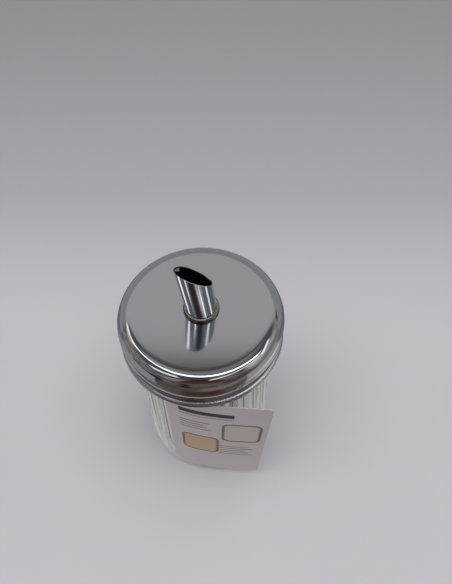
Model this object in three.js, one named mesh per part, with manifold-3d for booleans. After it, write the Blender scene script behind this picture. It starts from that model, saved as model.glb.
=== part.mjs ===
// Sugar dispenser: a fluted glass jar under a twist-on steel lid, whose slanted
// tube doses the sugar. Millimetres, +Z up, origin on the jar's axis at the floor.

import * as THREE from 'three';
import { mergeVertices } from 'three/addons/utils/BufferGeometryUtils.js';
import Module from 'manifold-3d';

const wasm = await Module();
wasm.setup();

// Driving dimensions

// Glass jar
const jarBaseRadius = 34.6;
const jarNeckRadius = 29.2;
const jarShoulderStep = 0.7;
const jarNeckWall = 2.6;
const jarBodyWall = 3.0;
const jarFloor = 8.0;
const jarHeelRadius = 2.8;
const jarFloorCorner = 6.0;
const jarHeight = 115.7;
const jarNeckLength = 20.0;
const jarShoulderDrop = 3.0;
const fluteDepth = 0.8;
const fluteFade = 9.0;

// Glass thread: short runs with gaps between them, each ending in a stop
const threadReach = 2.0;
const threadRun = 2.0;
const threadAngle = THREE.MathUtils.degToRad(55);
const stopAngle = THREE.MathUtils.degToRad(6);
const rootSink = 0.6;

// Lid, pressed from one sheet
const lidSheet = 0.5;
const shoulderRadius = 6.4;
const skirtDepth = 19.4;
const beadRadius = 1.5;
const beadProud = 0.75;
const grooveHeight = 7.0;
const grooveDepth = 0.8;
const grooveFall = 4.0;

// Lugs, pressed inwards from the bead
const lugReach = 2.0;
const lugHeight = 2.3;
const lugAngle = THREE.MathUtils.degToRad(22);

// Seal under the lid
const gasketThickness = 1.2;
const gasketOverhang = 1.2;
const gasketChamfer = 0.6;

// Dosing tube, through the lid
const tubeRadius = 6.28;
const tubeWall = 0.45;
const tubeOffsetX = 0.475;
const tubeOffsetY = -0.577;
const tubeLean = THREE.MathUtils.degToRad(5.4);
const tubeLeanHeading = THREE.MathUtils.degToRad(174.6);
const spoutRise = 20.9;
const mouthTilt = THREE.MathUtils.degToRad(45.4);
const mouthHeading = THREE.MathUtils.degToRad(48.7);
const footTilt = THREE.MathUtils.degToRad(35);
const footClearance = 11.0;

// Rings that hold the tube in the lid
const collarWidth = 0.75;
const collarHeight = 1.6;
const collarRound = 0.45;
const retainerWidth = 2.8;
const retainerThickness = 1.2;

// Card on the jar, and the tape under it
const cardWidth = 45.5;
const cardThickness = 0.4;
const cardCorner = 3.0;
const cardLift = 8.8;
const cardDrop = 2.5;
const cardStart = THREE.MathUtils.degToRad(-120);
const cardLeave = THREE.MathUtils.degToRad(-113);
const cardEase = 16.0;
const tapeThickness = 0.4;
const tapeMargin = 4.5;
const tapeInset = 1.0;

// Gaps between pieces
const seatGap = 0.1;
const tapeGap = 0.15;
const tubeGap = 0.3;
const lugClearance = 0.4;
const skirtClearance = 0.75;

// Overrun of every cut
const overrun = 5.0;

// Counts
const fluteCount = 30;
const fluteSteps = 3;
const threadStarts = 4;
const lidSides = 64;
const tubeSides = 32;
const arcSteps = 4;

// Radii and heights that follow from the sizes above
const jarWaistRadius = jarNeckRadius + jarShoulderStep;
const beadCentreRadius = jarNeckRadius + threadReach + skirtClearance + beadRadius;
const drumRadius = beadCentreRadius + beadRadius - beadProud;
const gasketBottom = jarHeight + seatGap;
const lidUnderside = gasketBottom + gasketThickness + seatGap;
const lidTop = lidUnderside + lidSheet;
const skirtBottom = lidTop - skirtDepth;
const beadCentreHeight = skirtBottom + beadRadius;
const neckFoot = jarHeight - jarNeckLength;
const threadBottom = skirtBottom + lugHeight + lugClearance;
const cardHeight = skirtBottom - cardDrop - cardLift;
const cardStandOff = tapeGap + tapeThickness + tapeGap;

// Points of an arc round (x, y), from one angle in degrees to another
function arc(x, y, radius, fromDegrees, toDegrees, steps = arcSteps) {
  const points = [];
  for (let i = 0; i <= steps; i++) {
    const angle = THREE.MathUtils.degToRad(fromDegrees + ((toDegrees - fromDegrees) * i) / steps);
    points.push(new THREE.Vector2(x + radius * Math.cos(angle), y + radius * Math.sin(angle)));
  }
  return points;
}

// A profile of radius and height, turned about the Z axis
function turned(profile, sides) {
  const geometry = new THREE.LatheGeometry(profile, sides);
  geometry.rotateX(Math.PI / 2);
  return geometry;
}

// The volume inside a merged geometry, negative where its faces point in
function signedVolume(geometry) {
  const position = geometry.getAttribute('position');
  const index = geometry.getIndex();
  const a = new THREE.Vector3();
  const b = new THREE.Vector3();
  const c = new THREE.Vector3();
  let volume = 0;
  for (let i = 0; i < index.count; i += 3) {
    a.fromBufferAttribute(position, index.getX(i));
    b.fromBufferAttribute(position, index.getX(i + 1));
    c.fromBufferAttribute(position, index.getX(i + 2));
    volume += a.dot(b.cross(c)) / 6;
  }
  return volume;
}

// A closed geometry as a solid that can be joined and cut
function toSolid(geometry) {
  const bare = geometry.clone();
  bare.deleteAttribute('normal');
  bare.deleteAttribute('uv');
  const merged = mergeVertices(bare);
  const triangles = Uint32Array.from(merged.getIndex().array);
  if (signedVolume(merged) < 0) {
    for (let i = 0; i < triangles.length; i += 3) {
      [triangles[i + 1], triangles[i + 2]] = [triangles[i + 2], triangles[i + 1]];
    }
  }
  const vertProperties = Float32Array.from(merged.getAttribute('position').array);
  return new wasm.Manifold(new wasm.Mesh({ numProp: 3, vertProperties, triVerts: triangles }));
}

// A solid as a geometry again
function toGeometry(solid) {
  const mesh = solid.getMesh();
  const geometry = new THREE.BufferGeometry();
  geometry.setAttribute('position', new THREE.BufferAttribute(mesh.vertProperties, 3));
  geometry.setIndex(new THREE.BufferAttribute(mesh.triVerts, 1));
  geometry.computeVertexNormals();
  return geometry;
}

// A block that follows a ring, between two radii, two heights and two angles
function ringBlock(innerRadius, outerRadius, low, high, fromAngle, toAngle) {
  const outline = new THREE.Shape();
  outline.absarc(0, 0, outerRadius, fromAngle, toAngle, false);
  outline.absarc(0, 0, innerRadius, toAngle, fromAngle, true);
  outline.closePath();
  const geometry = new THREE.ExtrudeGeometry(outline, {
    depth: high - low,
    bevelEnabled: false,
    curveSegments: arcSteps,
  });
  geometry.translate(0, 0, low);
  return geometry;
}

// The jar's outer radius at its flute crests: a slim cone from heel to waist
function jarRadiusAt(height) {
  const waist = neckFoot - jarShoulderDrop;
  const share = THREE.MathUtils.clamp((height - jarHeelRadius) / (waist - jarHeelRadius), 0, 1);
  return THREE.MathUtils.lerp(jarBaseRadius, jarWaistRadius, share);
}

// How strongly the flutes show at a height: none at the heel and the neck
function fluteStrength(height) {
  const rise = THREE.MathUtils.smoothstep(height, jarHeelRadius, jarHeelRadius + fluteFade);
  const waist = neckFoot - jarShoulderDrop;
  return rise * (1 - THREE.MathUtils.smoothstep(height, waist - fluteFade, waist));
}

// Jar profile: base, heel, cone, neck, rounded rim, then the inside down to the floor
function jarProfile() {
  const rimRadius = jarNeckWall / 2;
  const waist = neckFoot - jarShoulderDrop;
  const bodySteps = 8;
  const profile = [new THREE.Vector2(0, 0)];
  profile.push(...arc(jarBaseRadius - jarHeelRadius, jarHeelRadius, jarHeelRadius, -90, 0));
  for (let i = 1; i <= bodySteps; i++) {
    const height = THREE.MathUtils.lerp(jarHeelRadius, waist, i / bodySteps);
    profile.push(new THREE.Vector2(jarRadiusAt(height), height));
  }
  profile.push(new THREE.Vector2(jarNeckRadius, neckFoot));
  profile.push(...arc(jarNeckRadius - rimRadius, jarHeight - rimRadius, rimRadius, 0, 180, 6));
  profile.push(new THREE.Vector2(jarNeckRadius - jarNeckWall, neckFoot));
  profile.push(new THREE.Vector2(jarRadiusAt(waist) - jarBodyWall, waist - jarShoulderDrop));
  const corner = jarFloor + jarFloorCorner;
  const cornerRadius = jarRadiusAt(corner) - jarBodyWall;
  profile.push(...arc(cornerRadius - jarFloorCorner, corner, jarFloorCorner, 0, -90));
  profile.push(new THREE.Vector2(0, jarFloor));
  return profile;
}

// Each flute is a shallow hollow between two crests, pressed into the outer face only
function pressFlutes(geometry) {
  const position = geometry.getAttribute('position');
  for (let i = 0; i < position.count; i++) {
    const x = position.getX(i);
    const y = position.getY(i);
    const height = position.getZ(i);
    const radius = Math.hypot(x, y);
    const isOuter = radius > jarRadiusAt(height) - jarBodyWall / 2;
    if (!isOuter || height > neckFoot) {
      continue;
    }
    const turns = (Math.atan2(y, x) / (2 * Math.PI)) * fluteCount;
    const across = 2 * (turns - Math.floor(turns)) - 1;
    const sink = fluteDepth * fluteStrength(height) * (1 - across * across);
    const scale = (radius - sink) / radius;
    position.setXY(i, x * scale, y * scale);
  }
  return geometry;
}

// Thread runs on the neck, with an upright stop at the far end of each
function addThread(jar) {
  const inner = jarNeckRadius - rootSink;
  const outer = jarNeckRadius + threadReach;
  const pitch = (2 * Math.PI) / threadStarts;
  const top = threadBottom + threadRun;
  let solid = jar;
  for (let i = 0; i < threadStarts; i++) {
    const to = i * pitch - (pitch - threadAngle) / 2;
    const from = to - threadAngle;
    solid = solid.add(toSolid(ringBlock(inner, outer, threadBottom, top, from, to)));
    solid = solid.add(toSolid(ringBlock(inner, outer, skirtBottom, top, from, from + stopAngle)));
  }
  return solid;
}

function glassJar() {
  const body = pressFlutes(turned(jarProfile(), fluteCount * fluteSteps));
  return toGeometry(addThread(toSolid(body)));
}

// The drum's foot drawn in to the groove's floor, on a smooth fall from top to bottom
function drawnIn(radius) {
  const drumFoot = beadCentreHeight + beadRadius + grooveHeight;
  const points = [];
  for (let i = 0; i <= arcSteps; i++) {
    const share = i / arcSteps;
    const inset = (grooveDepth * (1 - Math.cos(Math.PI * share))) / 2;
    points.push(new THREE.Vector2(radius - inset, drumFoot - grooveFall * share));
  }
  return points;
}

// Lid profile: top, shoulder, drum, ring groove, bead, then the inner wall up to the top
function lidProfile() {
  const shoulderCentre = drumRadius - shoulderRadius;
  const profile = [new THREE.Vector2(0, lidTop)];
  profile.push(...arc(shoulderCentre, lidTop - shoulderRadius, shoulderRadius, 90, 0, 6));
  profile.push(...drawnIn(drumRadius));
  profile.push(...arc(beadCentreRadius, beadCentreHeight, beadRadius, 90, -250, 10));
  profile.push(...drawnIn(drumRadius - lidSheet).reverse());
  const innerShoulder = shoulderRadius - lidSheet;
  profile.push(...arc(shoulderCentre, lidTop - shoulderRadius, innerShoulder, 0, 90));
  profile.push(new THREE.Vector2(0, lidUnderside));
  return profile;
}

// The tube's axis line: a group's place and turn that the tube and its holes share
function alongTube(geometry) {
  const lean = new THREE.Vector3(
    Math.sin(tubeLean) * Math.cos(tubeLeanHeading),
    Math.sin(tubeLean) * Math.sin(tubeLeanHeading),
    Math.cos(tubeLean),
  );
  const up = new THREE.Vector3(0, 0, 1);
  geometry.applyQuaternion(new THREE.Quaternion().setFromUnitVectors(up, lean));
  geometry.translate(tubeOffsetX, tubeOffsetY, lidTop);
  return geometry;
}

// A round bar on the tube's axis, standing above and below the lid's top
function tubeBar(radius, above, below) {
  const geometry = new THREE.CylinderGeometry(radius, radius, above + below, tubeSides);
  geometry.rotateX(Math.PI / 2);
  geometry.translate(0, 0, (above - below) / 2);
  return alongTube(geometry);
}

// A block whose lower face is a slanted plane through a point on the tube's axis
function slantedBlock(height, tilt, heading, above) {
  const side = 2 * (lidTop + spoutRise);
  const geometry = new THREE.BoxGeometry(side, side, side);
  geometry.translate(0, 0, above ? side / 2 : -side / 2);
  geometry.rotateY(tilt);
  geometry.rotateZ(heading);
  const run = (height - lidTop) * Math.tan(tubeLean);
  const x = tubeOffsetX + run * Math.cos(tubeLeanHeading);
  const y = tubeOffsetY + run * Math.sin(tubeLeanHeading);
  geometry.translate(x, y, height);
  return geometry;
}

// The hole for the tube, with a small gap all round
function tubeHole() {
  return toSolid(tubeBar(tubeRadius + tubeGap, shoulderRadius, shoulderRadius));
}

function lidShell() {
  const wallRadius = beadCentreRadius - beadRadius / 2;
  const tipRadius = beadCentreRadius - beadRadius - lugReach;
  const pitch = (2 * Math.PI) / threadStarts;
  const low = skirtBottom + seatGap;
  let solid = toSolid(turned(lidProfile(), lidSides));
  for (let i = 0; i < threadStarts; i++) {
    const from = i * pitch - lugAngle / 2;
    const lug = ringBlock(tipRadius, wallRadius, low, skirtBottom + lugHeight, from, from + lugAngle);
    solid = solid.add(toSolid(lug));
  }
  return toGeometry(solid.subtract(tubeHole()));
}

// Flat ring with a chamfered outer corner, over the jar's rim
function lidGasket() {
  const outer = jarNeckRadius;
  const inner = jarNeckRadius - jarNeckWall - gasketOverhang;
  const top = gasketBottom + gasketThickness;
  const profile = [
    new THREE.Vector2(inner, gasketBottom),
    new THREE.Vector2(outer, gasketBottom),
    new THREE.Vector2(outer, top - gasketChamfer),
    new THREE.Vector2(outer - 2 * gasketChamfer, top),
    new THREE.Vector2(inner, top),
    new THREE.Vector2(inner, gasketBottom),
  ];
  return toGeometry(toSolid(turned(profile, lidSides)));
}

// Straight tube: a slanted beak cut at the mouth, a slanted foot near the jar's floor
function dosingTube() {
  const above = spoutRise + 4 * tubeRadius;
  const footHeight = jarFloor + footClearance;
  const below = lidTop;
  const bore = tubeBar(tubeRadius - tubeWall, above + overrun, below + overrun);
  const wall = toSolid(tubeBar(tubeRadius, above, below)).subtract(toSolid(bore));
  const mouth = toSolid(slantedBlock(lidTop + spoutRise, mouthTilt, mouthHeading, true));
  const foot = toSolid(slantedBlock(footHeight, footTilt, mouthHeading, false));
  return toGeometry(wall.subtract(mouth).subtract(foot));
}

// Ferrule round the tube on top of the lid, with a rounded upper edge
function spoutCollar() {
  const outer = tubeRadius + tubeGap + collarWidth;
  const inner = tubeRadius;
  const low = lidTop + seatGap;
  const top = low + collarHeight;
  const profile = [
    new THREE.Vector2(inner, low),
    new THREE.Vector2(outer, low),
    ...arc(outer - collarRound, top - collarRound, collarRound, 0, 90, 3),
    new THREE.Vector2(inner, top),
    new THREE.Vector2(inner, low),
  ];
  const ring = turned(profile, tubeSides);
  ring.translate(tubeOffsetX, tubeOffsetY, 0);
  return toGeometry(toSolid(ring).subtract(tubeHole()));
}

// Flat ring that holds the tube from under the lid
function retainingRing() {
  const outer = tubeRadius + tubeGap + retainerWidth;
  const inner = tubeRadius;
  const top = lidUnderside - seatGap;
  const low = top - retainerThickness;
  const profile = [
    new THREE.Vector2(inner, low),
    new THREE.Vector2(outer, low),
    new THREE.Vector2(outer, top),
    new THREE.Vector2(inner, top),
    new THREE.Vector2(inner, low),
  ];
  const ring = turned(profile, tubeSides);
  ring.translate(tubeOffsetX, tubeOffsetY, 0);
  return toGeometry(toSolid(ring).subtract(tubeHole()));
}

// A point of a sheet that hugs the jar, then leaves it and straightens out little by
// little: its heading dies away to that of the X axis
function wrapPoint(along, standOff, height) {
  const radius = jarRadiusAt(height);
  const hugged = radius * (cardLeave - cardStart);
  const angle = cardStart + Math.min(along, hugged) / radius;
  const free = Math.max(along - hugged, 0);
  const faded = Math.exp(-free / cardEase);
  const start = angle + Math.PI / 2;
  const heading = start * faded;
  const forward = free - (start * start * cardEase * (1 - faded * faded)) / 4;
  const aside = start * cardEase * (1 - faded);
  return new THREE.Vector3(
    radius * Math.cos(angle) + forward + standOff * Math.sin(heading),
    radius * Math.sin(angle) + aside - standOff * Math.cos(heading),
    height,
  );
}

// A sheet wrapped on the jar, with round corners, made by bending a thin box
function wrappedSheet(from, width, low, height, standOff, thickness, corner, columns) {
  const rows = 12;
  const box = new THREE.BoxGeometry(1, 1, 1, columns, 1, rows);
  const position = box.getAttribute('position');
  for (let i = 0; i < position.count; i++) {
    const upShare = (1 - Math.cos(Math.PI * (position.getZ(i) + 0.5))) / 2;
    const up = upShare * height;
    const intoCorner = Math.max(corner - Math.min(up, height - up), 0);
    const inset = corner - Math.sqrt(Math.max(corner * corner - intoCorner * intoCorner, 0));
    const along = from + inset + (position.getX(i) + 0.5) * (width - 2 * inset);
    const out = standOff + (0.5 - position.getY(i)) * thickness;
    const point = wrapPoint(along, out, low + up);
    position.setXYZ(i, point.x, point.y, point.z);
  }
  return toGeometry(toSolid(box));
}

function labelCard() {
  const columns = 12;
  return wrappedSheet(
    0, cardWidth, cardLift, cardHeight, cardStandOff, cardThickness, cardCorner, columns,
  );
}

// Double-sided tape between the jar and the part of the card that hugs it
function cardTape() {
  const hugged = jarWaistRadius * (cardLeave - cardStart);
  const low = cardLift + tapeMargin;
  const columns = 4;
  return wrappedSheet(
    tapeInset, hugged - tapeInset, low, cardHeight - 2 * tapeMargin,
    tapeGap, tapeThickness, tapeThickness, columns,
  );
}

// Colours and finishes
const glass = new THREE.MeshStandardMaterial({ color: 0xc9d8cf, roughness: 0.05, metalness: 0 });
const steel = new THREE.MeshStandardMaterial({ color: 0xa9abad, roughness: 0.22, metalness: 1 });
const brightSteel = new THREE.MeshStandardMaterial({ color: 0xb9babb, roughness: 0.1, metalness: 1 });
const ferrule = new THREE.MeshStandardMaterial({ color: 0x4a4338, roughness: 0.45, metalness: 0 });
const seal = new THREE.MeshStandardMaterial({ color: 0xe6e4dc, roughness: 0.7, metalness: 0 });
const ringSteel = new THREE.MeshStandardMaterial({ color: 0x9a9c9e, roughness: 0.3, metalness: 1 });
const card = new THREE.MeshStandardMaterial({ color: 0xc9bdb9, roughness: 0.6, metalness: 0 });
const tape = new THREE.MeshStandardMaterial({ color: 0xe9e7da, roughness: 0.5, metalness: 0 });

// One named mesh
function piece(name, geometry, material) {
  const mesh = new THREE.Mesh(geometry, material);
  mesh.name = name;
  return mesh;
}

const jarGroup = new THREE.Group();
jarGroup.add(piece('glass_jar', glassJar(), glass));
jarGroup.add(piece('label_card', labelCard(), card));
jarGroup.add(piece('card_tape', cardTape(), tape));

const lidGroup = new THREE.Group();
lidGroup.add(piece('lid_shell', lidShell(), steel));
lidGroup.add(piece('dosing_tube', dosingTube(), brightSteel));
lidGroup.add(piece('spout_collar', spoutCollar(), ferrule));
lidGroup.add(piece('tube_retaining_ring', retainingRing(), ringSteel));
lidGroup.add(piece('lid_gasket', lidGasket(), seal));

const dispenser = new THREE.Group();
dispenser.add(jarGroup, lidGroup);

export default dispenser;
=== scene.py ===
# A sugar dispenser: a fluted glass jar under a twist-on steel lid, whose slanted tube
# doses the sugar, with a printed card wrapped on its front. Metres, +Z up.
import math

import bmesh
import bpy
import numpy as np
from mathutils import Matrix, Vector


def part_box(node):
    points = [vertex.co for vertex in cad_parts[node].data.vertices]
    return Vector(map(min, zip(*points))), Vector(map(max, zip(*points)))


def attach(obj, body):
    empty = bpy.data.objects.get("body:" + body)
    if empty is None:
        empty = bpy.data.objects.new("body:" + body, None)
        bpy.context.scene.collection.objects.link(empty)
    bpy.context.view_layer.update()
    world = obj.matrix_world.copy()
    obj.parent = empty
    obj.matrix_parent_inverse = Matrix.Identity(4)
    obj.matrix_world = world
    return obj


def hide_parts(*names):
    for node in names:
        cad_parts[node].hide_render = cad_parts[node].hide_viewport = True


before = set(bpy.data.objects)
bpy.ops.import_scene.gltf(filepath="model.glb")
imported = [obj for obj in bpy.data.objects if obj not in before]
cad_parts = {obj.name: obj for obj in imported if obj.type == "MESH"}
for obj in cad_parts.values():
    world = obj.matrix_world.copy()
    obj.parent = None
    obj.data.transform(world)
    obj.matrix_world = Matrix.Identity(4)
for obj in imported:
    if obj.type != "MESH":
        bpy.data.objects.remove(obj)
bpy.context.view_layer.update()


# Camera and studio
# A camera held above the front of the dispenser looks down on the lid. The dispenser
# stands on a pale sheet that sweeps up behind it, under one long lamp and a smaller one.
MM = 0.001
IMAGE_LONG_SIDE = 584
FOCAL_PIXELS = 437
SENSOR = 36.0
LOOK_DOWN = math.radians(55.72)
LID_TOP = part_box("lid_shell")[1][2]
EYE = (10.21 * MM, -93.48 * MM, LID_TOP + 147.7 * MM)

camera_data = bpy.data.cameras.new("camera")
camera_data.sensor_width = SENSOR
camera_data.lens = FOCAL_PIXELS / IMAGE_LONG_SIDE * SENSOR
camera_data.clip_start = 0.01
camera = bpy.data.objects.new("camera", camera_data)
camera.location = EYE
camera.rotation_euler = (math.pi / 2 - LOOK_DOWN, 0, 0)
bpy.context.collection.objects.link(camera)
bpy.context.scene.camera = camera
bpy.context.scene.view_settings.view_transform = "Standard"


class Value:
    """A shader socket. An expression on values adds the Math nodes that work it out."""

    def __init__(self, tree, socket):
        self.tree = tree
        self.socket = socket

    def math(self, operation, *others):
        """One Math node on this value and the others."""
        node = self.tree.nodes.new("ShaderNodeMath")
        node.operation = operation
        for place, given in zip(node.inputs, (self, *others)):
            plug(self.tree, place, given)
        return Value(self.tree, node.outputs[0])

    def __add__(self, other):
        return self.math("ADD", other)

    def __sub__(self, other):
        return self.math("SUBTRACT", other)

    def __mul__(self, other):
        return self.math("MULTIPLY", other)

    def __truediv__(self, other):
        return self.math("DIVIDE", other)

    def __rsub__(self, other):
        return (self * -1) + other

    __radd__ = __add__
    __rmul__ = __mul__

    def rise(self, start, end):
        """0 below start and 1 above end, with an eased slope between them."""
        share = ((self - start) / (end - start)).math("MINIMUM", 1).math("MAXIMUM", 0)
        return share * share * (3 - share * 2)

    def band(self, low, high, soft):
        """1 between low and high, fading to 0 over soft outside them."""
        return self.rise(low - soft, low) * (1 - self.rise(high, high + soft))


def plug(tree, place, given):
    """Sets a socket to a plain value, or links a Value to it."""
    if isinstance(given, Value):
        tree.links.new(given.socket, place)
    else:
        place.default_value = given


class Nodes:
    """A node tree being made, for a material or the world."""

    def __init__(self, tree):
        self.tree = tree

    def add(self, kind, settings=None, inputs=None, output=0):
        """A node of any type: its settings first, then its sockets' values or links."""
        node = self.tree.nodes.new(kind)
        settings = dict(settings or {})
        stops = settings.pop("stops", None)
        for key, setting in settings.items():
            setattr(node, key, setting)
        if stops:
            elements = node.color_ramp.elements
            while len(elements) < len(stops):
                elements.new(0.5)
            for element, (position, colour) in zip(elements, stops):
                element.position = position
                element.color = (*colour, 1.0)
        for key, given in (inputs or {}).items():
            plug(self.tree, node.inputs[key], given)
        return Value(self.tree, node.outputs[output])

    def split(self, vector):
        """The three numbers of a vector."""
        node = self.tree.nodes.new("ShaderNodeSeparateXYZ")
        self.tree.links.new(vector.socket, node.inputs[0])
        return [Value(self.tree, place) for place in node.outputs]

    def noise(self, vector, scale, detail=3.0, roughness=0.5):
        """Soft noise from 0 to 1, with a scale in blotches to the metre."""
        sockets = {"Vector": vector, "Scale": scale, "Detail": detail, "Roughness": roughness}
        return self.add("ShaderNodeTexNoise", {}, sockets)

    def mix(self, mask, first, second):
        """The first colour where the mask is 0, the second where it is 1."""
        settings = {"data_type": "RGBA"}
        sockets = {0: mask, 6: rgba(first), 7: rgba(second)}
        return self.add("ShaderNodeMix", settings, sockets, output=2)


def rgba(colour):
    """A colour with full alpha, or the Value as it is."""
    return colour if isinstance(colour, Value) else (*colour, 1.0)


class Finish(Nodes):
    """A material with one Principled shader, whose constants are set by name."""

    def __init__(self, name, **constants):
        self.material = bpy.data.materials.new(name)
        self.material.use_nodes = True
        super().__init__(self.material.node_tree)
        self.shader = self.tree.nodes["Principled BSDF"]
        self.set(**constants)

    def set(self, **sockets):
        """Sets or links the shader's sockets. An underscore stands for a space."""
        for key, given in sockets.items():
            plug(self.tree, self.shader.inputs[key.replace("_", " ")], given)

    def place(self):
        """The point on the piece, in metres."""
        return self.add("ShaderNodeTexCoord", output="Object")

    def stretch(self, vector, scale):
        """The vector times a scale along each axis."""
        sockets = {"Vector": vector, "Scale": scale}
        return self.add("ShaderNodeMapping", {"vector_type": "POINT"}, sockets)

    def bump(self, height, distance, strength=1.0):
        """Bends the normals as if the surface rose by height times distance."""
        sockets = {"Height": height, "Distance": distance, "Strength": strength}
        self.set(Normal=self.add("ShaderNodeBump", {}, sockets))


def build(name, grid, uv=None, close_rows=False, sharp=None):
    """A mesh from a grid of points: rows of points that each close on themselves.

    Neighbouring rows are joined by four-sided faces, points that fall together are
    merged, so poles and seams close, and the faces are turned outwards.
    """
    rows, columns = grid.shape[:2]
    row = np.arange(rows if close_rows else rows - 1)[:, None]
    column = np.arange(columns)[None, :]
    after = (row + 1) % rows
    beside = (column + 1) % columns
    corners = (row * columns + column, row * columns + beside,
               after * columns + beside, after * columns + column)
    faces = np.stack(np.broadcast_arrays(*corners), axis=-1).reshape(-1, 4)
    mesh = bpy.data.meshes.new(name)
    mesh.from_pydata(grid.reshape(-1, 3).tolist(), [], faces.tolist())
    if uv is not None:
        layer = mesh.uv_layers.new(name="UVMap")
        layer.data.foreach_set("uv", uv.reshape(-1, 2)[faces.ravel()].ravel())
    work = bmesh.new()
    work.from_mesh(mesh)
    bmesh.ops.remove_doubles(work, verts=work.verts, dist=0.001 * MM)
    bmesh.ops.recalc_face_normals(work, faces=work.faces)
    work.to_mesh(mesh)
    work.free()
    mesh.shade_smooth()
    if sharp:
        mesh.set_sharp_from_angle(angle=math.radians(sharp))
    piece = bpy.data.objects.new(name, mesh)
    bpy.context.collection.objects.link(piece)
    return piece


# The sheet: a floor that turns up behind the dispenser on a wide curve
SHEET_HALF = 1.6
SHEET_NEAR = -1.4
SHEET_BEND = 0.19
SHEET_RADIUS = 0.20
SHEET_TOP = 0.52


def sweep_sheet(across, along):
    """Flat up to the bend, then a quarter turn of the bend's radius, then upright."""
    start = SHEET_BEND
    turn = np.clip((along - start) / SHEET_RADIUS, 0, math.pi / 2)
    beyond = np.maximum(along - start - SHEET_RADIUS * math.pi / 2, 0)
    y = np.minimum(along, start) + SHEET_RADIUS * np.sin(turn)
    z = SHEET_RADIUS * (1 - np.cos(turn)) + beyond
    return np.stack(np.broadcast_arrays(across, y, z), axis=-1)


sheet_length = SHEET_BEND + SHEET_RADIUS * math.pi / 2 + SHEET_TOP - SHEET_RADIUS
sheet_along = np.concatenate([
    np.array([SHEET_NEAR]), np.linspace(SHEET_BEND, SHEET_BEND + SHEET_RADIUS * math.pi / 2, 48),
    np.array([sheet_length]),
])
sheet_points = sweep_sheet(np.array([-SHEET_HALF, SHEET_HALF])[None, :], sheet_along[:, None])
sheet_mesh = bpy.data.meshes.new("studio_sheet")
row = np.arange(len(sheet_along) - 1) * 2
sheet_faces = np.stack([row, row + 1, row + 3, row + 2], axis=-1)
sheet_mesh.from_pydata(sheet_points.reshape(-1, 3).tolist(), [], sheet_faces.tolist())
sheet_mesh.shade_smooth()
studio_sheet = bpy.data.objects.new("studio_sheet", sheet_mesh)
bpy.context.collection.objects.link(studio_sheet)

paper = Finish("studio_paper", Roughness=0.9, Emission_Strength=1.0)
paper_x, paper_y, _ = paper.split(paper.place())
paper_grain = paper.noise(paper.place(), 9.0)
seen_tone = paper.mix(paper_grain, (0.485, 0.477, 0.490), (0.512, 0.504, 0.518))
# Painted shade: the sheet is painted darker towards the back and up the bend.
seen_tone = paper.mix(paper_y.rise(50 * MM, 240 * MM), seen_tone, (0.365, 0.362, 0.378))
seen_tone = paper.mix(paper_y.rise(200 * MM, 370 * MM), seen_tone, (0.285, 0.283, 0.292))

# What polished steel sees of the sheet, as light of its own: a pale ring close to the
# jar, dull on the left, a bright patch on the right, and a brown table in front
BLACK = (0.0, 0.0, 0.0)
LEFT_NEAR = (0.22, 0.215, 0.225)
LEFT_FAR = (0.36, 0.36, 0.38)
LEFT_SHADE = (0.11, 0.11, 0.125)
RIGHT_NEAR = (0.42, 0.415, 0.41)
RIGHT_BACK = (0.22, 0.22, 0.24)
RIGHT_BRIGHT = (0.80, 0.79, 0.78)
RIGHT_PALE = (0.62, 0.61, 0.60)
RIGHT_SHADE = (0.24, 0.23, 0.225)
BACK_NEAR = (0.17, 0.175, 0.195)
BACK_FAR = (0.325, 0.33, 0.35)
TABLE_RED = (0.075, 0.035, 0.026)
TABLE_GREY = (0.115, 0.10, 0.10)
TABLE_FAR_LEFT = (0.10, 0.085, 0.082)
TABLE_FAR_RIGHT = (0.22, 0.19, 0.18)
PALE_RING = (0.62, 0.61, 0.61)
ahead = paper_y * -1
wide = paper_x.math("ABSOLUTE")
away = (paper_x * paper_x + paper_y * paper_y).math("SQRT")


def patch(centre_x, centre_y, inner, outer):
    """1 near a point of the sheet, in millimetres, fading to 0 away from it."""
    dx = paper_x - centre_x * MM
    dy = paper_y - centre_y * MM
    return 1 - (dx * dx + dy * dy).math("SQRT").rise(inner * MM, outer * MM)


left_tone = paper.mix((paper_x * -1).rise(70 * MM, 150 * MM), LEFT_NEAR, LEFT_FAR)
left_tone = paper.mix(patch(-75, -30, 10, 40), left_tone, LEFT_SHADE)
right_tone = paper.mix(paper_y.rise(0.0, 30 * MM), RIGHT_NEAR, RIGHT_BACK)
right_tone = paper.mix(patch(150, -25, 25, 75), right_tone, RIGHT_BRIGHT)
right_tone = paper.mix(patch(84, -50, 8, 34), right_tone, RIGHT_PALE)
right_tone = paper.mix(patch(60, -34, 6, 22), right_tone, RIGHT_SHADE)
mirror_tone = paper.mix(paper_x.rise(-20 * MM, 20 * MM), left_tone, right_tone)
mirror_tone = paper.mix(paper_y.rise(25 * MM, 90 * MM), mirror_tone, BACK_NEAR)
mirror_tone = paper.mix(paper_y.rise(150 * MM, 330 * MM), mirror_tone, BACK_FAR)
to_sides = (wide - ahead * 0.22).rise(5 * MM, 32 * MM)
table_tone = paper.mix(to_sides, TABLE_RED, TABLE_GREY)
far_table = paper.mix(paper_x.rise(-60 * MM, 60 * MM), TABLE_FAR_LEFT, TABLE_FAR_RIGHT)
table_tone = paper.mix(ahead.rise(165 * MM, 240 * MM), table_tone, far_table)
mirror_tone = paper.mix((ahead - wide * 0.93).rise(-8 * MM, 8 * MM), mirror_tone, table_tone)
mirror_tone = paper.mix(away.rise(68 * MM, 76 * MM), PALE_RING, mirror_tone)


def glossy_outside(nodes):
    """1 for a ray off polished steel, 0 for one that has passed through glass."""
    through = nodes.add("ShaderNodeLightPath", output="Transmission Depth").math("MINIMUM", 1)
    return nodes.add("ShaderNodeLightPath", output="Is Glossy Ray") * (1 - through)


# Painted light: a ray that has passed through the glass sees the sheet glow with one even tone of
# its own, so no shadow shows through the jar.
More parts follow.
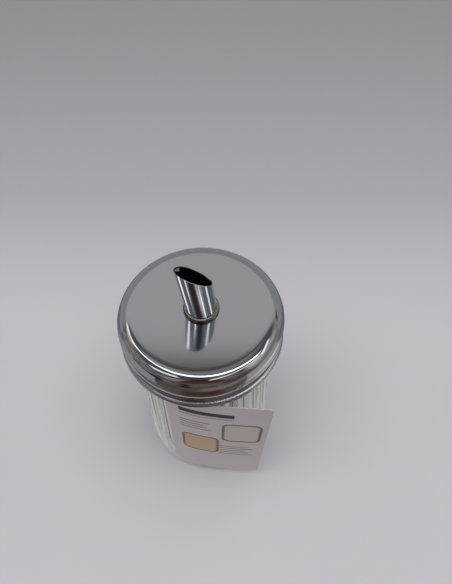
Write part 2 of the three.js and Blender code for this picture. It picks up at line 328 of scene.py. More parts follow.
PAINTED_GLOW_THROUGH_GLASS = (0.25, 0.253, 0.25)
paper_mirror = glossy_outside(paper)
paper_through = paper.add("ShaderNodeLightPath", output="Transmission Depth").math("MINIMUM", 1)
paper_light = paper.mix(paper_mirror, BLACK, mirror_tone)
paper_light = paper.mix(paper_through, paper_light, PAINTED_GLOW_THROUGH_GLASS)
own_light = paper_mirror.math("MAXIMUM", paper_through)
paper.set(Base_Color=paper.mix(own_light, seen_tone, BLACK), Emission_Color=paper_light)
sheet_mesh.materials.append(paper.material)


def lamp(name, place, width, depth, watts):
    """A flat lamp of that size, facing the middle of the lid."""
    data = bpy.data.lights.new(name, "AREA")
    data.shape = "RECTANGLE"
    data.size = width
    data.size_y = depth
    data.energy = watts
    light = bpy.data.objects.new(name, data)
    bpy.context.collection.objects.link(light)
    light.visible_glossy = False
    light.visible_transmission = False
    target = np.array([0.0, 0.0, LID_TOP])
    down = target - np.array(place)
    down /= np.linalg.norm(down)
    side = np.cross(down, (0.0, 1.0, 0.0))
    side /= np.linalg.norm(side)
    up = np.cross(side, down)
    turn = np.eye(4)
    turn[:3, 0] = side
    turn[:3, 1] = up
    turn[:3, 2] = -down
    turn[:3, 3] = place
    light.matrix_world = Matrix(turn.tolist())


lamp("long_lamp", (-0.05, -0.12, 1.3), 1.6, 0.5, 9.0)
lamp("back_lamp", (0.1, 0.25, 1.2), 0.6, 0.4, 2.0)

# What polished steel sees of the room. A direction is laid flat round the zenith, with
# u to the right and v to the back; the horizon is the circle at 1.
world = bpy.data.worlds.new("studio")
world.use_nodes = True
bpy.context.scene.world = world
room = Nodes(world.node_tree)
background = world.node_tree.nodes["Background"]
room_direction = room.add("ShaderNodeTexCoord", output="Generated")
room_x, room_y, room_z = room.split(room_direction)
lift = room_z.math("MAXIMUM", -0.6) + 1
u = room_x / lift
v = room_y / lift
room_noise = room.noise(room_direction, 3.2, 3.0)
aside = u.math("ABSOLUTE")
below = v * -1

# Tones of the room, then masks for round and long patches of light in it
DIM_ROOM = (0.11, 0.115, 0.13)
CEILING = (0.25, 0.25, 0.255)
BACK_WALL = (0.51, 0.51, 0.52)
GAP = (0.09, 0.085, 0.08)
RED_BROWN = (0.075, 0.035, 0.03)
FAR_BROWN = (0.11, 0.09, 0.08)
NEAR_BLACK = (0.018, 0.015, 0.015)


def blob(centre_u, centre_v, inner, outer):
    """1 near a point of the flat room plan, fading to 0 away from it."""
    du = u - centre_u
    dv = v - centre_v
    return 1 - (du * du + dv * dv).math("SQRT").rise(inner, outer)


def strip(low, bend, tilt, half, soft):
    """1 along a curved line of the plan, at v = low + tilt u + bend u squared."""
    line = u * u * bend + u * tilt + low
    return 1 - ((v - line).math("ABSOLUTE") - half).rise(0.0, soft)


def spotted(ground, spots):
    """The ground with round spots on it, one a row.

    A row gives a centre u and v, how far the spot is full, where it ends, and its colour.
    """
    for centre_u, centre_v, full, gone, colour in spots:
        ground = room.mix(blob(centre_u, centre_v, full, gone), ground, colour)
    return ground


CEILING_SPOTS = (
    (0.0, 0.08, 0.10, 0.28, CEILING),
    (-0.15, 0.07, 0.01, 0.12, (0.42, 0.42, 0.43)),
)
clutter = room.noise(room_direction, 9.0, 3.0).rise(0.38, 0.62)
tone = spotted(room.mix(room_noise, DIM_ROOM, (0.075, 0.08, 0.095)), CEILING_SPOTS)
left_room = room.mix(clutter, (0.15, 0.145, 0.15), (0.34, 0.325, 0.32))
left_low = room.mix(clutter, (0.09, 0.09, 0.10), (0.17, 0.165, 0.18))
left_room = room.mix(below.rise(0.20, 0.55), left_room, left_low)
tone = room.mix((u * -1).rise(0.36, 0.50), tone, left_room)
right_room = room.mix(u.rise(0.62, 0.74), (0.47, 0.47, 0.47), (0.27, 0.265, 0.26))
right_low = room.mix(u.rise(0.6, 0.9), (0.09, 0.085, 0.08), (0.18, 0.165, 0.155))
right_room = room.mix(below.rise(0.32, 0.50), right_room, right_low)
tone = room.mix(u.rise(0.34, 0.54), tone, right_room)
tone = room.mix(v.rise(0.10, 0.22) * u.rise(0.30, 0.5), tone, (0.26, 0.26, 0.26))
back_tone = room.mix((u * -1).rise(0.25, 0.60), BACK_WALL, (0.29, 0.29, 0.31))
back_tone = room.mix(u.rise(0.15, 0.45), back_tone, (0.34, 0.34, 0.34))
tone = room.mix(v.rise(0.195, 0.262), tone, back_tone)
tone = room.mix(v.band(0.185, 0.205, 0.03) * u.band(-0.25, 0.12, 0.1), tone, GAP)
far_dark = (1 - (v - 0.295).math("ABSOLUTE").rise(0.02, 0.055)) * u.band(0.48, 0.84, 0.10)
tone = room.mix(far_dark, tone, (0.06, 0.06, 0.06))

# The room in front: a red-brown wedge, grey to both sides, with dark and pale patches,
# then the echoes of the lamps in pale walls
FRONT_SPOTS = (
    (-0.02, -0.25, 0.03, 0.10, (0.06, 0.06, 0.075)),
    (-0.22, -0.72, 0.03, 0.12, NEAR_BLACK),
    (-0.28, -0.92, 0.05, 0.15, NEAR_BLACK),
    (0.36, -0.70, 0.02, 0.12, (0.05, 0.04, 0.035)),
    (0.34, -0.98, 0.03, 0.12, (0.21, 0.18, 0.16)),
    (0.52, -0.95, 0.02, 0.11, (0.06, 0.045, 0.04)),
    (-0.48, -0.69, 0.02, 0.11, (0.22, 0.21, 0.21)),
    (-0.74, -0.42, 0.03, 0.12, (0.26, 0.25, 0.275)),
    (-0.72, -0.68, 0.08, 0.18, (0.012, 0.012, 0.028)),
    (-0.92, -0.74, 0.05, 0.18, (0.03, 0.03, 0.05)),
    (0.13, -0.25, 0.01, 0.10, (0.26, 0.265, 0.28)),
    (0.45, -0.19, 0.04, 0.15, (0.74, 0.74, 0.74)),
    (-0.39, 0.14, 0.03, 0.13, (0.82, 0.79, 0.76)),
    (-0.357, 0.196, 0.018, 0.055, (1.6, 1.6, 1.58)),
)
wedge = aside - (below - 0.35) * 0.85
front_grey = room.mix((u * -1).rise(-0.1, 0.1), (0.20, 0.18, 0.165), (0.31, 0.29, 0.28))
grey_mask = below.band(0.38, 0.50, 0.05) * (1 - aside.rise(0.36, 0.50))
tone = room.mix(grey_mask, tone, front_grey)
front = below.rise(0.25, 0.32) * (1 - wedge.rise(0.08, 0.15))
front_tone = room.mix(below.rise(0.50, 0.62), RED_BROWN, (0.15, 0.125, 0.11))
front_tone = room.mix(below.rise(0.80, 0.98), front_tone, FAR_BROWN)
tone = spotted(room.mix(front, tone, front_tone), FRONT_SPOTS)

# The lamps as the lid's shoulder sees them: a long bright line, a lower one on each
# side, and a patch at the long one's right end
end_line = (v - 0.06 + (u - 0.40) * 1.5).math("ABSOLUTE")
end_patch = (1 - end_line.rise(0.03, 0.09)) * v.band(-0.10, 0.08, 0.03) * u.band(0.36, 0.53, 0.04)
tone = room.mix(end_patch, tone, (1.45, 1.45, 1.5))
second_right = strip(-0.360, 1.0, 0.20, 0.016, 0.030) * u.band(0.08, 0.42, 0.04)
second_left = strip(-0.225, 0.55, 0.10, 0.022, 0.035) * (u * -1).band(0.19, 0.37, 0.04)
tone = room.mix(second_right, tone, (1.25, 1.22, 1.22))
tone = room.mix(second_left, tone, (1.45, 1.38, 1.36))
main_right = strip(-0.10, 1.19, -0.2125, 0.018, 0.032) * u.band(-0.16, 0.33, 0.04)
main_left = strip(-0.10, 1.19, -0.2125, 0.014, 0.03) * (u * -1).band(0.12, 0.34, 0.04)
tone = room.mix(main_left, tone, (2.4, 2.35, 2.35))
tone = room.mix(main_right, tone, (3.4, 3.4, 3.5))

# The tube and the lid's top mirror each other, and see the room from another place
# than the shoulder does, so the lamps lie elsewhere for light that is mirrored twice
TWICE_DIM = (
    (0.15, -0.315, 0.02, 0.05, (0.29, 0.28, 0.31)),
    (0.27, -0.262, 0.02, 0.05, (0.57, 0.60, 0.67)),
    (-0.212, -0.212, 0.010, 0.032, (2.6, 2.5, 2.5)),
    (-0.283, 0.030, 0.030, 0.062, (2.3, 2.3, 2.4)),
)
TWICE_BRIGHT = (
    (0.190, -0.279, 0.014, 0.036, (2.5, 2.5, 2.6)),
    (0.182, -0.095, 0.016, 0.050, (1.8, 1.85, 2.0)),
    (0.362, -0.060, 0.024, 0.052, (1.9, 1.9, 1.9)),
)
mirror_count = room.add("ShaderNodeLightPath", output="Glossy Depth")
mirrored_twice = (mirror_count - 1).math("MAXIMUM", 0).math("MINIMUM", 1)
between = room.mix(room_noise, (0.24, 0.25, 0.30), (0.19, 0.20, 0.23))
between = room.mix(blob(0.0, 0.08, 0.08, 0.20), between, (0.25, 0.25, 0.26))
between = room.mix(v.rise(0.16, 0.28), between, (0.45, 0.45, 0.48))
dim_wedge = (1 - (aside - 0.02 - below * 0.30).rise(0.02, 0.07)) * below.rise(0.15, 0.22)
wedge_tone = room.mix(below.rise(0.26, 0.32), (0.04, 0.045, 0.065), (0.07, 0.04, 0.04))
between = room.mix(dim_wedge * (1 - u.rise(0.02, 0.07)), between, wedge_tone)
between = spotted(between, TWICE_DIM)
tail = strip(-0.352, 1.0, 0.20, 0.010, 0.020) * u.band(0.10, 0.19, 0.03)
between = spotted(room.mix(tail, between, (1.15, 1.13, 1.16)), TWICE_BRIGHT)
tone = room.mix(mirrored_twice, tone, between)

# What is seen through the glass, and what lights everything else
SKY = (0.60, 0.60, 0.62)
THROUGH_LOW = (0.20, 0.207, 0.203)
THROUGH_HIGH = (0.40, 0.41, 0.405)
through_glass = room.add("ShaderNodeLightPath", output="Transmission Depth").math("MINIMUM", 1)
glass_view = room.mix(room_z.rise(0.45, 0.75), THROUGH_LOW, THROUGH_HIGH)
sky = room.mix(through_glass, SKY, glass_view)
sky = room.mix(glossy_outside(room), sky, tone)
plug(world.node_tree, background.inputs["Color"], sky)
plug(world.node_tree, background.inputs["Strength"], 1.0)


# Glass jar
# Pressed soda-lime glass with a faint green tint, a thick floor and upright flutes
# that fade out at the heel and the neck. Four short thread runs are moulded on the neck.
JAR_BASE = 34.6 * MM
JAR_NECK = 29.2 * MM
JAR_WAIST = JAR_NECK + 0.7 * MM
NECK_WALL = 2.6 * MM
BODY_WALL = 3.0 * MM
JAR_FLOOR = 8.0 * MM
HEEL = 2.8 * MM
JAR_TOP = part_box("glass_jar")[1][2]
NECK_FOOT = JAR_TOP - 20.0 * MM
WAIST_HEIGHT = NECK_FOOT - 3.0 * MM
FLUTES = 30
FLUTE_DEPTH = 0.8 * MM
FLUTE_FADE = 9.0 * MM
THREAD_STARTS = 4
THREAD_REACH = 2.0 * MM
THREAD_RUN = 2.0 * MM
THREAD_ANGLE = math.radians(55)
STOP_ANGLE = math.radians(6)
SKIRT_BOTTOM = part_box("lid_shell")[0][2]
LUG_HEIGHT = 2.3 * MM
THREAD_BOTTOM = SKIRT_BOTTOM + LUG_HEIGHT + 0.4 * MM
JAR_COLUMNS = 360


def rounded(corners, radii, steps=8):
    """A line through corners, each turned on the circle that touches both its edges."""
    corners = np.asarray(corners, float)
    line = [corners[:1]]
    for before, here, after, radius in zip(corners, corners[1:], corners[2:], radii):
        back = (before - here) / np.linalg.norm(before - here)
        on = (after - here) / np.linalg.norm(after - here)
        half = math.acos(np.clip(back @ on, -1, 1)) / 2
        middle = here + (back + on) / np.linalg.norm(back + on) * radius / math.sin(half)
        reach = radius / math.tan(half)
        first = here + back * reach - middle
        last = here + on * reach - middle
        sweep = math.pi - 2 * half
        turn = np.linspace(0, sweep, steps + 1)[:, None]
        on_circle = np.sin(sweep - turn) * first + np.sin(turn) * last
        line.append(middle + on_circle / math.sin(sweep))
    line.append(corners[-1:])
    return np.concatenate(line)


def divided(line, step):
    """The same line with every stretch cut into parts no longer than step."""
    parts = []
    for start, end in zip(line, line[1:]):
        count = max(1, math.ceil(np.linalg.norm(end - start) / step))
        parts.append(start + (end - start) * (np.arange(count) / count)[:, None])
    return np.concatenate(parts + [line[-1:]])


def ease(value, start, end):
    """0 below start and 1 above end, with an eased slope between them."""
    share = np.clip((value - start) / (end - start), 0, 1)
    return share * share * (3 - 2 * share)


def hump(value, centre, half):
    """A half ellipse of height 1 over centre, 0 beyond half on both sides."""
    return np.sqrt(np.clip(1 - ((value - centre) / half) ** 2, 0, 1))


def run_mask(angle, start, end, soft):
    """1 between two angles in each quarter turn, with soft ends inside them."""
    pitch = 2 * math.pi / THREAD_STARTS
    turned = np.mod(angle - start, pitch)
    return ease(turned, 0, soft) * (1 - ease(turned, end - start - soft, end - start))


def flute_sink(angle, height):
    """How far the wall sinks in a flute: a hollow between two soft crests."""
    across = 2 * np.mod(angle / (2 * math.pi) * FLUTES, 1) - 1
    hollow = 0.6 * (1 - across ** 2) + 0.2 * (1 + np.cos(math.pi * across))
    rise = ease(height, HEEL, HEEL + FLUTE_FADE)
    fall = 1 - ease(height, WAIST_HEIGHT - FLUTE_FADE, WAIST_HEIGHT)
    return FLUTE_DEPTH * hollow * rise * fall


def thread_rise(angle, height):
    """How far the neck stands out: level runs with rounded backs, each with a stop."""
    pitch = 2 * math.pi / THREAD_STARTS
    end = -(pitch - THREAD_ANGLE) / 2
    start = end - THREAD_ANGLE
    soft = math.radians(2.5)
    middle = THREAD_BOTTOM + THREAD_RUN / 2
    run = run_mask(angle, start, end, soft) * hump(height, middle, THREAD_RUN / 2)
    top = THREAD_BOTTOM + THREAD_RUN
    stop_middle = (SKIRT_BOTTOM + top) / 2
    stop = run_mask(angle, start, start + STOP_ANGLE, soft)
    stop = stop * hump(height, stop_middle, (top - SKIRT_BOTTOM) / 2)
    return THREAD_REACH * np.maximum(run, stop)


def turned_grid(line, angle, offset=0.0):
    """A line of radius and height turned about the axis, with an offset to its radius."""
    radius = line[:, 0, None] + offset
    height = np.broadcast_to(line[:, 1, None], radius.shape[:1] + angle.shape)
    return np.stack([radius * np.cos(angle), radius * np.sin(angle), height], axis=-1)


def around(columns):
    """Angles of a full turn in equal steps, without the last one."""
    return np.linspace(0, 2 * math.pi, columns, endpoint=False)


outer_line = rounded(
    [(0, 0), (JAR_BASE, 0), (JAR_WAIST, WAIST_HEIGHT), (JAR_NECK, NECK_FOOT), (JAR_NECK, JAR_TOP),
     (JAR_NECK - NECK_WALL / 2, JAR_TOP)],
    [HEEL, 4 * MM, 4 * MM, NECK_WALL * 0.49])
inner_base = JAR_BASE - BODY_WALL - 0.3 * MM
inner_line = rounded(
    [(JAR_NECK - NECK_WALL / 2, JAR_TOP), (JAR_NECK - NECK_WALL, JAR_TOP),
     (JAR_NECK - NECK_WALL, NECK_FOOT), (JAR_WAIST - BODY_WALL, WAIST_HEIGHT - 3 * MM),
     (inner_base, JAR_FLOOR), (0, JAR_FLOOR)],
    [NECK_WALL * 0.49, 6 * MM, 6 * MM, 6 * MM])
low_outer = outer_line[outer_line[:, 1] < NECK_FOOT]
high_outer = outer_line[outer_line[:, 1] >= NECK_FOOT]
outer_line = np.concatenate([divided(low_outer, 3 * MM), divided(high_outer, 0.3 * MM)])
inner_line = divided(inner_line, 4 * MM)[1:]
jar_angle = around(JAR_COLUMNS)
outer_height = outer_line[:, 1, None]
on_side = outer_line[:, 0, None] > JAR_NECK - NECK_WALL / 2
sink = flute_sink(jar_angle, outer_height)
relief = np.where(on_side, thread_rise(jar_angle, outer_height) - sink, 0.0)
jar_grid = np.concatenate([
    turned_grid(outer_line, jar_angle, relief),
    turned_grid(inner_line, jar_angle),
])
jar = build("pressed_jar", jar_grid)

glass = Finish("green_tinted_glass", Roughness=0.0, IOR=1.52, Transmission_Weight=1.0)
glass_place = glass.place()
glass_waves = glass.noise(glass.stretch(glass_place, (60.0, 60.0, 14.0)), 1.0, 2.0)
glass_x, glass_y, glass_z = glass.split(glass_place)
from_axis = (glass_x * glass_x + glass_y * glass_y).math("SQRT")
body_tint = glass.mix(glass_waves, (0.955, 0.972, 0.962), (0.975, 0.985, 0.978))
base_tint = glass.mix(1 - glass_z.rise(4 * MM, 16 * MM), body_tint, (0.88, 0.94, 0.90))
inside = 1 - from_axis.rise(inner_base - 0.1 * MM, inner_base + 0.7 * MM)
# Painted shade: a dark green, almost mirror-like band round the inside corner of the jar's floor.
painted_corner_shade = glass_z.band(JAR_FLOOR + 0.6 * MM, JAR_FLOOR + 2.6 * MM, 0.5 * MM) * inside
glass.set(Base_Color=glass.mix(painted_corner_shade, base_tint, (0.05, 0.11, 0.08)))
glass.set(Metallic=painted_corner_shade * 0.9)
glass.set(Roughness=glass.noise(glass_place, 300.0).rise(0.55, 0.9) * 0.03)
glass_ribs = glass.noise(glass.stretch(glass_place, (420.0, 420.0, 9.0)), 1.0, 2.0)
glass.bump(glass_waves + glass_ribs * 0.2, 0.25 * MM, 0.35)
jar.data.materials.append(glass.material)
jar.visible_shadow = False
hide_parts("glass_jar")
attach(jar, "jar")


# Lid gasket
# A flat ring of soft off-white plastic under the lid. It seals on the jar's rim and is
# held in the lid by the corner of its upper edge.
def dress(piece, finish, node, body):
    """Gives a piece its material, and says which CAD node it stands for and rides with."""
    piece.data.materials.append(finish.material)
    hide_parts(node)
    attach(piece, body)


gasket_low, gasket_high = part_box("lid_gasket")
GASKET_OUTER = gasket_high[0]
GASKET_INNER = JAR_NECK - NECK_WALL - 1.2 * MM
GASKET_CHAMFER = 0.6 * MM
gasket_line = rounded(
    [(GASKET_INNER, (gasket_low[2] + gasket_high[2]) / 2), (GASKET_INNER, gasket_low[2]),
     (GASKET_OUTER, gasket_low[2]), (GASKET_OUTER, gasket_high[2] - GASKET_CHAMFER),
     (GASKET_OUTER - 2 * GASKET_CHAMFER, gasket_high[2]), (GASKET_INNER, gasket_high[2]),
     (GASKET_INNER, (gasket_low[2] + gasket_high[2]) / 2)],
    [0.15 * MM, 0.15 * MM, 0.15 * MM, 0.15 * MM, 0.15 * MM], steps=4)
gasket = build("seal_ring", turned_grid(gasket_line, around(160)))
seal = Finish("soft_seal", Roughness=0.6, Subsurface_Weight=0.1, Subsurface_Scale=0.002)
seal_grain = seal.noise(seal.place(), 1800.0)
seal.set(Base_Color=seal.mix(seal_grain, (0.66, 0.65, 0.60), (0.72, 0.71, 0.66)))
seal.bump(seal_grain, 0.03 * MM, 0.5)
dress(gasket, seal, "lid_gasket", "seal")


# Lid shell
# One pressed sheet of stainless steel: a satin top, a polished shoulder and drum, a
# ring groove, and a rolled bead whose inner side is pressed into four lugs.
LID_SHEET = 0.5 * MM
SHOULDER = 6.4 * MM
DRUM = 34.2 * MM
BEAD_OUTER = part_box("lid_shell")[1][0]
BEAD = 1.5 * MM
BEAD_CENTRE = BEAD_OUTER - BEAD
BEAD_INNER = BEAD_CENTRE - BEAD
DRUM_FOOT = SKIRT_BOTTOM + 2 * BEAD + 7.0 * MM
GROOVE_DEPTH = 0.8 * MM
GROOVE_FALL = 4.0 * MM
GROOVE_CORNER = 0.5 * MM
LUG_REACH = 2.0 * MM
LUG_ANGLE = math.radians(22)

bead_top = SKIRT_BOTTOM + 2 * BEAD
bead_middle = SKIRT_BOTTOM + BEAD
GROOVE_OUTER = DRUM - GROOVE_DEPTH
GROOVE_INNER = GROOVE_OUTER - LID_SHEET


def drawn_in(radius, steps=24):
    """The drum's foot falling in to the groove on half a cosine wave."""
    share = np.linspace(0, 1, steps + 1)
    inset = GROOVE_DEPTH * (1 - np.cos(math.pi * share)) / 2
    return np.stack([radius - inset, DRUM_FOOT - GROOVE_FALL * share], axis=-1)


def bow(centre_radius, centre_height, radius, start, end, steps=16):
    """Part of a circle about a point of the profile, between two angles in degrees."""
    angle = np.radians(np.linspace(start, end, steps + 1))
    return np.stack([centre_radius + radius * np.cos(angle),
                     centre_height + radius * np.sin(angle)], axis=-1)


# The groove's corner is a small circle that touches its wall and the bead
corner_radius = GROOVE_OUTER + GROOVE_CORNER
corner_lift = math.sqrt((BEAD + GROOVE_CORNER) ** 2 - (corner_radius - BEAD_CENTRE) ** 2)
touch = math.degrees(math.atan2(corner_lift, corner_radius - BEAD_CENTRE))
lid_outer = np.concatenate([
    rounded([(0, LID_TOP), (DRUM, LID_TOP), (DRUM, DRUM_FOOT)], [SHOULDER], steps=16),
    drawn_in(DRUM)[1:],
    bow(corner_radius, bead_middle + corner_lift, GROOVE_CORNER, 180, 180 + touch, 8),
    bow(BEAD_CENTRE, bead_middle, BEAD, touch, -90)[1:],
])
lid_inner = np.concatenate([
    rounded([(BEAD_CENTRE, SKIRT_BOTTOM), (BEAD_INNER, SKIRT_BOTTOM),
             (BEAD_INNER, bead_top - 0.3 * MM), (GROOVE_INNER, bead_top),
             (GROOVE_INNER, DRUM_FOOT - GROOVE_FALL)],
            [BEAD * 0.9, 0.8 * MM, 0.2 * MM], steps=12),
    drawn_in(DRUM - LID_SHEET)[::-1][1:],
    rounded([(DRUM - LID_SHEET, DRUM_FOOT), (DRUM - LID_SHEET, LID_TOP - LID_SHEET),
             (0, LID_TOP - LID_SHEET)], [SHOULDER - LID_SHEET], steps=12)[1:],
])
lid_outer = divided(lid_outer, 1.5 * MM)
lid_inner = divided(lid_inner, 0.5 * MM)[1:]
lid_angle = around(288)
lug_start = -LUG_ANGLE / 2
lugs = run_mask(lid_angle, lug_start, lug_start + LUG_ANGLE, math.radians(3))
lug_middle = SKIRT_BOTTOM + LUG_HEIGHT / 2
lug_relief = -LUG_REACH * lugs * hump(lid_inner[:, 1, None], lug_middle, LUG_HEIGHT / 2)
on_wall = lid_inner[:, 1, None] < SKIRT_BOTTOM + LUG_HEIGHT
lug_relief = np.where(on_wall, lug_relief, 0.0)

# The tube's hole: the rings of the top and of the underside start at the tube
TUBE = 6.28 * MM
TUBE_GAP = 0.3 * MM
TUBE_FOOT = np.array([0.475 * MM, -0.577 * MM])
LEAN = math.radians(5.4)
LEAN_HEADING = math.radians(174.6)
lean_step = math.tan(LEAN) * np.array([math.cos(LEAN_HEADING), math.sin(LEAN_HEADING)])


def tube_centre(height):
    """Where the tube's axis crosses a height."""
    return TUBE_FOOT + (np.asarray(height)[..., None] - LID_TOP) * lean_step


def opened(grid, hole):
    """Rings near the axis are drawn out so that the innermost one is the tube's hole."""
    radius = np.hypot(grid[..., 0], grid[..., 1])
    reach = 3 * hole
    inside = np.clip(1 - radius / reach, 0, 1)[..., None]
    angle = np.arctan2(grid[..., 1], grid[..., 0])
    lifted = np.where(radius[..., None] < reach, 1.0, 0.0)
    unit = np.stack([np.cos(angle), np.sin(angle)], axis=-1)
    ring = hole + radius * (reach - hole) / reach
    moved = tube_centre(grid[..., 2]) * inside + unit * ring[..., None]
    flat = np.where(lifted > 0, moved, grid[..., :2])
    return np.concatenate([flat, grid[..., 2:]], axis=-1)


POLE = 0.001 * MM
lid_outer[0, 0] = POLE
lid_inner[-1, 0] = POLE
lid_grid = np.concatenate([
    turned_grid(lid_outer, lid_angle),
    turned_grid(lid_inner, lid_angle, lug_relief),
])
lid_grid = opened(lid_grid, TUBE + TUBE_GAP)
lid = build("steel_lid", lid_grid, close_rows=True, sharp=50)

steel = Finish("stainless_lid", Metallic=1.0)
steel_place = steel.place()
sx, sy, sz = steel.split(steel_place)
radius = (sx * sx + sy * sy).math("SQRT")
on_top = (1 - radius.rise(DRUM - SHOULDER - 0.5 * MM, DRUM - SHOULDER + 2.5 * MM)) * \
    sz.rise(LID_TOP - 1.0 * MM, LID_TOP - 0.3 * MM)
rolled = steel.noise(steel.stretch(steel_place, (90.0, 2500.0, 90.0)), 1.0, 4.0, 0.6)
smudge = steel.noise(steel_place, 55.0, 4.0, 0.6)
spin_lines = steel.noise(steel.stretch(steel.add(
    "ShaderNodeCombineXYZ", {}, {0: radius, 1: sz}), (5200.0, 5200.0, 1.0)), 1.0, 2.0)
on_bead = 1 - sz.rise(bead_top - 0.2 * MM, bead_top + 0.3 * MM)
groove_with_painted_shade = sz.band(bead_top + 0.4 * MM, DRUM_FOOT - GROOVE_FALL + 0.4 * MM, 0.8 * MM)
polish_wear = smudge.rise(0.5, 0.8) * 0.02 + spin_lines * 0.015
steel.set(Roughness=0.035 + on_top * 0.05 + on_bead * 0.22 + groove_with_painted_shade * 0.10 + polish_wear)
bright_steel = steel.mix(smudge, (0.53, 0.53, 0.535), (0.56, 0.56, 0.565))
# Painted shade: the steel in the groove is painted darker.
steel.set(Base_Color=steel.mix(groove_with_painted_shade, bright_steel, (0.46, 0.455, 0.455)))
steel.bump(rolled * on_top + spin_lines * (1 - on_top) * 0.5, 0.004 * MM, 0.35)
dress(lid, steel, "lid_shell", "lid")


# Tube retaining ring
# A flat steel ring pressed on the tube from below. It clamps the lid's sheet against
# the collar and stays hidden until the lid comes off.
RETAINER_WIDTH = 2.8 * MM
ring_low, ring_high = (corner[2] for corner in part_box("tube_retaining_ring"))


def tube_ring(line, columns):
    """A line of radius and height turned about the leaning tube instead of the axis."""
    grid = turned_grid(line, around(columns))
    grid[..., :2] += tube_centre(grid[..., 2])
    return grid


def ring_line(inner, outer, low, high, edge):
    """A flat ring's section with small round edges, starting on its inner wall."""
    middle = (low + high) / 2
    return rounded([(inner, middle), (inner, low), (outer, low), (outer, high),
                    (inner, high), (inner, middle)], [edge] * 4, steps=5)


retainer_outer = TUBE + TUBE_GAP + RETAINER_WIDTH - 0.1 * MM
retainer_line = ring_line(TUBE + 0.02 * MM, retainer_outer, ring_low, ring_high, 0.2 * MM)
retainer = build("clamp_ring", tube_ring(retainer_line, 128))
ring_steel = Finish("satin_ring_steel", Metallic=1.0)
ring_grain = ring_steel.noise(ring_steel.stretch(ring_steel.place(), (200.0, 2600.0, 200.0)), 1.0)
ring_steel.set(Base_Color=ring_steel.mix(ring_grain, (0.55, 0.55, 0.56), (0.62, 0.62, 0.63)))
ring_steel.set(Roughness=0.22 + ring_grain * 0.12)
ring_steel.bump(ring_grain, 0.01 * MM, 0.4)
dress(retainer, ring_steel, "tube_retaining_ring", "lid")


# Dosing tube
# Thin-walled stainless tube, mirror polished, cut on a slant at the mouth to make a
# beak, and again at its foot near the jar's floor. It leans a little in the lid.
TUBE_WALL = 0.45 * MM
SPOUT_RISE = 20.9 * MM
MOUTH_TILT = math.radians(45.4)
MOUTH_HEADING = math.radians(48.7)
FOOT_TILT = math.radians(35)
LIP_ROUND = 0.35 * MM
CUT_CLEARANCE = 0.03 * MM
WALL_ROWS = 40
LIP_ROWS = 6
FOOT_HEIGHT = JAR_FLOOR + 11.0 * MM


def heading_slope(tilt, heading):
    """How fast a slanted cut falls along X and Y."""
    return math.tan(tilt) * np.array([math.cos(heading), math.sin(heading)])


lean_axis = np.array([*lean_step, 1.0]) / math.hypot(math.tan(LEAN), 1.0)
tube_side = np.cross((0.0, 1.0, 0.0), lean_axis)
tube_side /= np.linalg.norm(tube_side)
tube_front = np.cross(lean_axis, tube_side)


def cut_height(radius, angle, height, slope):
    """Distance along the axis from the lid's top to a slanted plane, at each angle.

    The plane passes through the axis at a height and falls along its slope.
    """
    spoke = radius * (np.cos(angle)[:, None] * tube_side + np.sin(angle)[:, None] * tube_front)
    centre = tube_centre(np.array(height))
    start = np.array([*TUBE_FOOT, LID_TOP])
    normal = np.array([*slope, 1.0])
    point = np.array([*centre, height])
    return ((point - start - spoke) @ normal) / (lean_axis @ normal)


def tube_points(radius, angle, along):
    """Points at a radius from the tube's axis and a distance along it."""
    spoke = np.cos(angle)[:, None] * tube_side + np.sin(angle)[:, None] * tube_front
    return np.array([*TUBE_FOOT, LID_TOP]) + radius * spoke + along[:, None] * lean_axis


def swell(angle, centre, half):
    """1 at an angle in degrees, falling to 0 on a cosine over half to both sides."""
    off = np.mod(angle - math.radians(centre) + math.pi, 2 * math.pi) - math.pi
    return (1 + np.cos(math.pi * np.clip(off / math.radians(half), -1, 1))) / 2


def hand_cut(angle):
    """How far the mouth's edge, finished with a file, strays from a flat cut, along the tube."""
    rise = 0.8 * swell(angle, 128, 62) + 0.4 * swell(angle, 12, 24)
    return (rise - 0.6 * swell(angle, 47, 24)) * MM


tube_angle = around(200)
mouth_slope = heading_slope(MOUTH_TILT, MOUTH_HEADING)
foot_slope = heading_slope(FOOT_TILT, MOUTH_HEADING)
inner_radius = TUBE - TUBE_WALL
mouth_height = LID_TOP + SPOUT_RISE
stray = hand_cut(tube_angle) - CUT_CLEARANCE
lip_turn = np.linspace(0, math.pi / 2, LIP_ROWS + 1)
rings = []
outer_foot = cut_height(TUBE, tube_angle, FOOT_HEIGHT, foot_slope)
outer_mouth = cut_height(TUBE, tube_angle, mouth_height, mouth_slope) + stray
for share in np.linspace(0, 1, WALL_ROWS):
    rings.append(tube_points(TUBE, tube_angle, outer_foot + (outer_mouth - outer_foot) * share))
for turn in lip_turn[1:]:
    ring = inner_radius + TUBE_WALL * math.cos(turn)
    edge = cut_height(ring, tube_angle, mouth_height, mouth_slope) + stray
    rings.append(tube_points(ring, tube_angle, edge - LIP_ROUND * (1 - math.cos(turn))))
inner_foot = cut_height(inner_radius, tube_angle, FOOT_HEIGHT, foot_slope) + LIP_ROUND
inner_mouth = cut_height(inner_radius, tube_angle, mouth_height, mouth_slope) + stray - LIP_ROUND
for share in np.linspace(1, 0, WALL_ROWS)[1:]:
    edge = inner_foot + (inner_mouth - inner_foot) * share
    rings.append(tube_points(inner_radius, tube_angle, edge))
for turn in lip_turn[1:-1]:
    ring = inner_radius + TUBE_WALL * math.sin(turn)
    edge = cut_height(ring, tube_angle, FOOT_HEIGHT, foot_slope)
    rings.append(tube_points(ring, tube_angle, edge + LIP_ROUND * (1 - math.sin(turn))))

